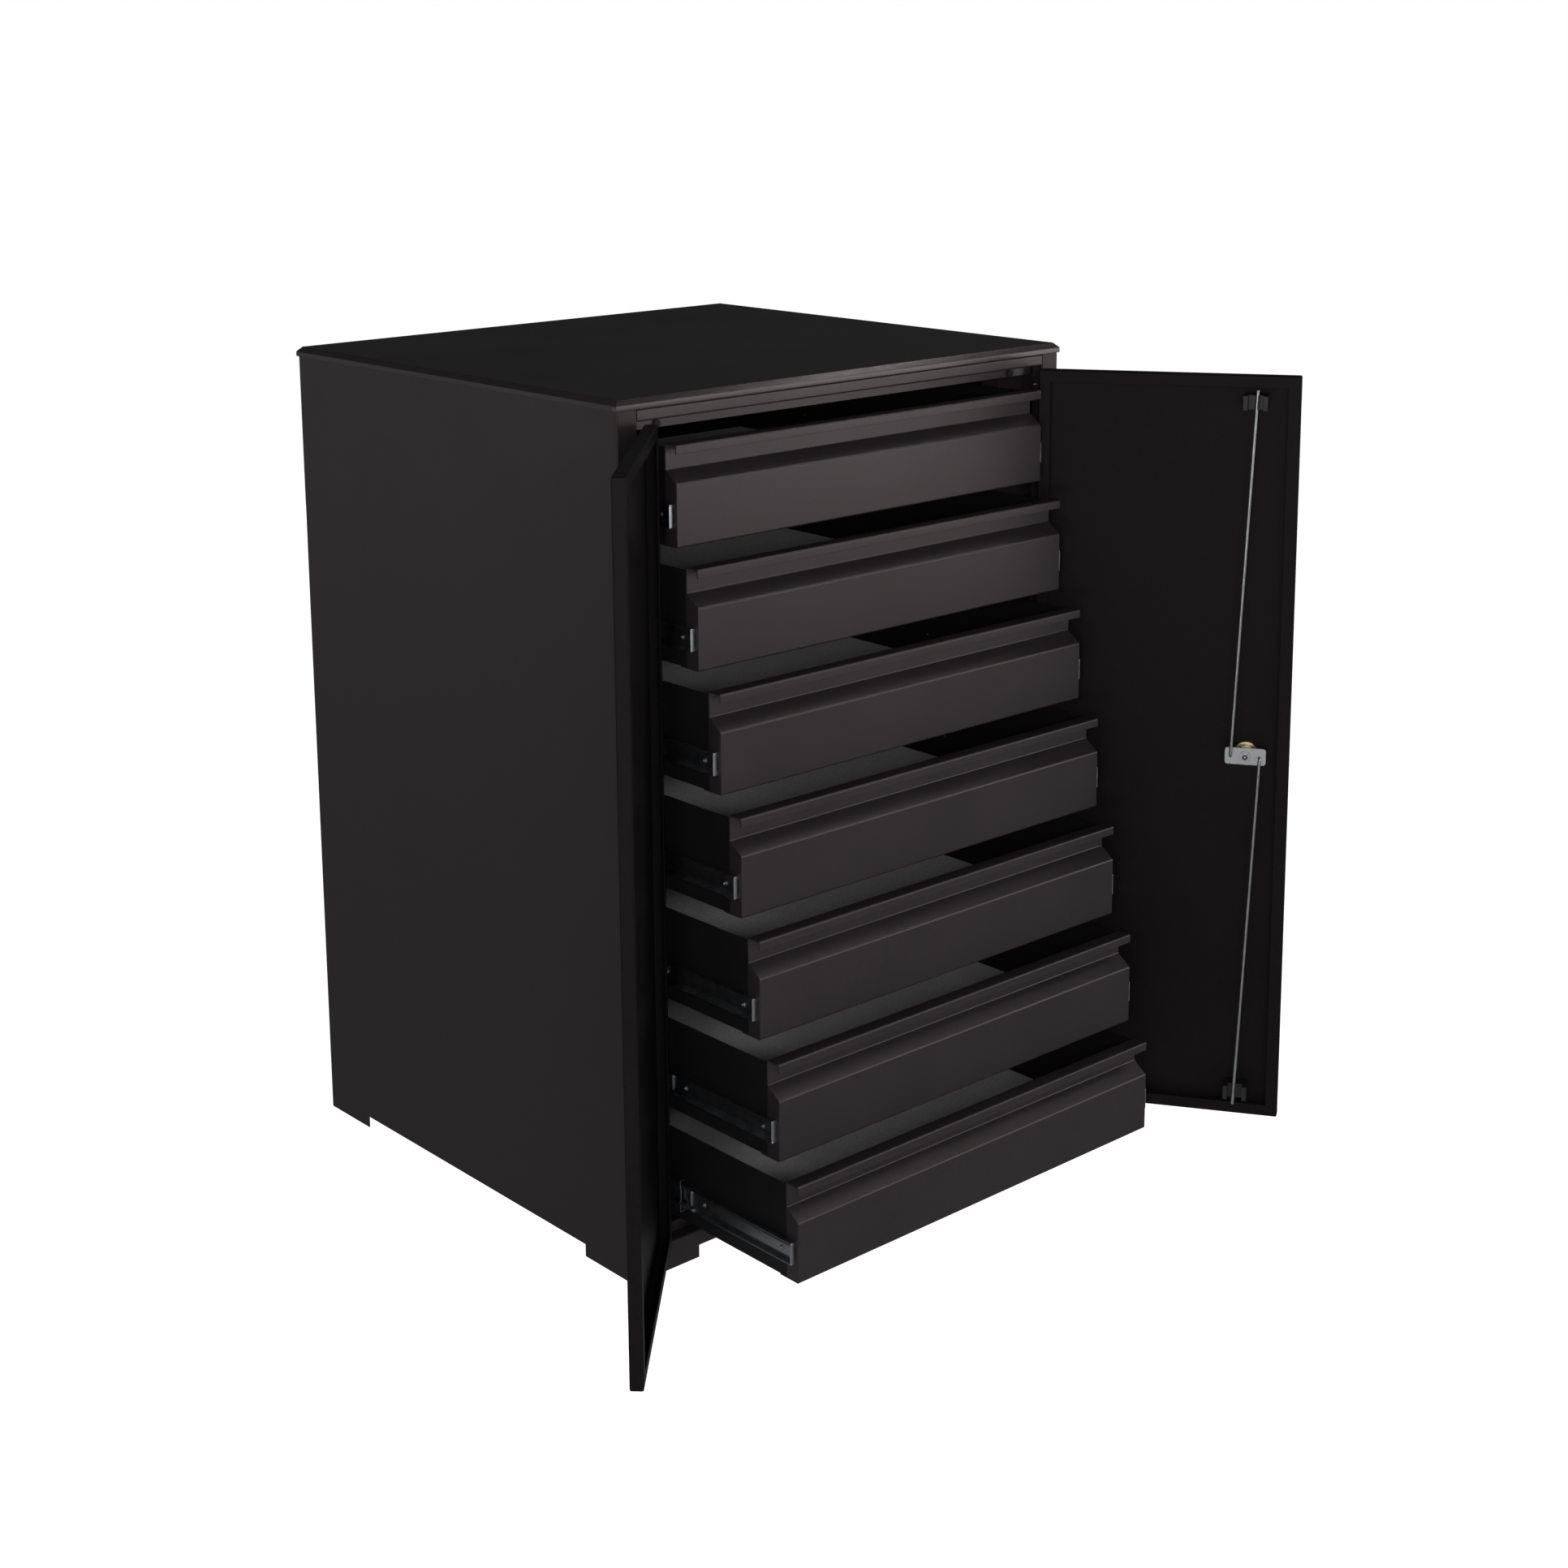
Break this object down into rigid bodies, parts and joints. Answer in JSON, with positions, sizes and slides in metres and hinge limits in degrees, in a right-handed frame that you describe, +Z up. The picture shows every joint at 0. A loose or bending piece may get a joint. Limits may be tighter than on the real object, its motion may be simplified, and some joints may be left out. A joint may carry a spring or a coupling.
{
  "type": "drawer cabinet with doors",
  "caption": "Tall steel tool cabinet: full-width drawers on ball runners behind a pair of hinged doors, with a rod lock on one door.",
  "frame": {"origin": "on the floor, under the middle of the cabinet's footprint", "axes": "+Z up; the drawers pull out and the doors open towards -Y; +X is to the right as one faces the cabinet"},
  "size_m": [1.0299, 0.9182, 1.012],
  "materials": {
    "powder_coat_shell": "fine-texture satin powder coat, near black",
    "powder_coat_front": "fine-texture satin powder coat, charcoal black",
    "zinc_steel": "bright zinc-plated cold-rolled steel",
    "ribbed_mat": "grey ribbed liner",
    "black_plastic": "moulded black nylon",
    "brass": "bright brass",
    "rubber": "soft black rubber"
  },
  "bodies": {
    "cabinet": {"side_panel_left": "powder_coat_shell", "side_panel_right": "powder_coat_shell", "back_panel": "powder_coat_shell", "top_cover": "powder_coat_shell", "base_pan": "powder_coat_shell", "front_plinth": "powder_coat_shell", "rear_plinth": "powder_coat_shell", "top_rail": "powder_coat_shell", "uprights": "powder_coat_shell", "cabinet_runners": "zinc_steel", "hinge_leaves_frame": "powder_coat_shell", "hinge_pins": "zinc_steel", "door_bumpers": "rubber"},
    "middle_1": {"middle_runners_1": "zinc_steel"},
    "middle_2": {"middle_runners_2": "zinc_steel"},
    "middle_3": {"middle_runners_3": "zinc_steel"},
    "middle_4": {"middle_runners_4": "zinc_steel"},
    "middle_5": {"middle_runners_5": "zinc_steel"},
    "middle_6": {"middle_runners_6": "zinc_steel"},
    "middle_7": {"middle_runners_7": "zinc_steel"},
    "drawer_1": {"drawer_1_front": "powder_coat_front", "drawer_1_box": "powder_coat_shell", "drawer_1_mat": "ribbed_mat", "drawer_1_runners": "zinc_steel"},
    "drawer_2": {"drawer_2_front": "powder_coat_front", "drawer_2_box": "powder_coat_shell", "drawer_2_mat": "ribbed_mat", "drawer_2_runners": "zinc_steel"},
    "drawer_3": {"drawer_3_front": "powder_coat_front", "drawer_3_box": "powder_coat_shell", "drawer_3_mat": "ribbed_mat", "drawer_3_runners": "zinc_steel"},
    "drawer_4": {"drawer_4_front": "powder_coat_front", "drawer_4_box": "powder_coat_shell", "drawer_4_mat": "ribbed_mat", "drawer_4_runners": "zinc_steel"},
    "drawer_5": {"drawer_5_front": "powder_coat_front", "drawer_5_box": "powder_coat_shell", "drawer_5_mat": "ribbed_mat", "drawer_5_runners": "zinc_steel"},
    "drawer_6": {"drawer_6_front": "powder_coat_front", "drawer_6_box": "powder_coat_shell", "drawer_6_mat": "ribbed_mat", "drawer_6_runners": "zinc_steel"},
    "drawer_7": {"drawer_7_front": "powder_coat_front", "drawer_7_box": "powder_coat_shell", "drawer_7_mat": "ribbed_mat", "drawer_7_runners": "zinc_steel"},
    "door_left": {"door_left": "powder_coat_front", "hinge_leaves_left": "powder_coat_front"},
    "door_right": {"door_right": "powder_coat_front", "hinge_leaves_right": "powder_coat_front", "lock_barrel": "zinc_steel", "lock_ring": "brass", "rod_guides": "black_plastic"},
    "lock": {"turn_handle": "black_plastic", "cam_plate": "zinc_steel", "cam_nut": "zinc_steel"},
    "upper_rod": {"upper_rod": "zinc_steel"},
    "lower_rod": {"lower_rod": "zinc_steel"}
  },
  "joints": [
    {"name": "middle_1_slide", "type": "slide", "parent": "cabinet", "child": "middle_1", "axis": [0, -1, 0], "range_m": [0, 0.265]},
    {"name": "drawer_1_slide", "type": "slide", "parent": "middle_1", "child": "drawer_1", "axis": [0, -1, 0], "range_m": [-0.0591, 0.2059]},
    {"name": "middle_2_slide", "type": "slide", "parent": "cabinet", "child": "middle_2", "axis": [0, -1, 0], "range_m": [0, 0.265]},
    {"name": "drawer_2_slide", "type": "slide", "parent": "middle_2", "child": "drawer_2", "axis": [0, -1, 0], "range_m": [-0.0921, 0.1729]},
    {"name": "middle_3_slide", "type": "slide", "parent": "cabinet", "child": "middle_3", "axis": [0, -1, 0], "range_m": [0, 0.265]},
    {"name": "drawer_3_slide", "type": "slide", "parent": "middle_3", "child": "drawer_3", "axis": [0, -1, 0], "range_m": [-0.127, 0.138]},
    {"name": "middle_4_slide", "type": "slide", "parent": "cabinet", "child": "middle_4", "axis": [0, -1, 0], "range_m": [0, 0.265]},
    {"name": "drawer_4_slide", "type": "slide", "parent": "middle_4", "child": "drawer_4", "axis": [0, -1, 0], "range_m": [-0.1588, 0.1062]},
    {"name": "middle_5_slide", "type": "slide", "parent": "cabinet", "child": "middle_5", "axis": [0, -1, 0], "range_m": [0, 0.265]},
    {"name": "drawer_5_slide", "type": "slide", "parent": "middle_5", "child": "drawer_5", "axis": [0, -1, 0], "range_m": [-0.1869, 0.0781]},
    {"name": "middle_6_slide", "type": "slide", "parent": "cabinet", "child": "middle_6", "axis": [0, -1, 0], "range_m": [0, 0.265]},
    {"name": "drawer_6_slide", "type": "slide", "parent": "middle_6", "child": "drawer_6", "axis": [0, -1, 0], "range_m": [-0.2167, 0.0483]},
    {"name": "middle_7_slide", "type": "slide", "parent": "cabinet", "child": "middle_7", "axis": [0, -1, 0], "range_m": [-0.062, 0.203]},
    {"name": "drawer_7_slide", "type": "slide", "parent": "middle_7", "child": "drawer_7", "axis": [0, -1, 0], "range_m": [-0.184, 0.081]},
    {"name": "door_left_hinge", "type": "hinge", "parent": "cabinet", "child": "door_left", "pos_m": [-0.3145, -0.324, 0.513], "axis": [0, 0, -1], "range_deg": [-44.5, 45.5]},
    {"name": "door_right_hinge", "type": "hinge", "parent": "cabinet", "child": "door_right", "pos_m": [0.3145, -0.324, 0.513], "axis": [0, 0, 1], "range_deg": [-33.4, 56.6]},
    {"name": "lock_turn", "type": "hinge", "parent": "door_right", "child": "lock", "pos_m": [0.4412, -0.55249, 0.513], "axis": [0.8348, 0.5505, 0], "range_deg": [0, 90]},
    {"name": "upper_rod_pivot", "type": "hinge", "parent": "lock", "child": "upper_rod", "pos_m": [0.42567, -0.54165, 0.513], "axis": [0.8348, 0.5505, 0], "range_deg": [-93, 0]},
    {"name": "lower_rod_pivot", "type": "hinge", "parent": "lock", "child": "lower_rod", "pos_m": [0.44505, -0.57103, 0.513], "axis": [0.8348, 0.5505, 0], "range_deg": [-93, 0]}
  ],
  "couplings": [
    {"joint": "upper_rod_pivot", "follows": "lock_turn", "ratio": -1.0246},
    {"joint": "lower_rod_pivot", "follows": "lock_turn", "ratio": -1.0246}
  ]
}
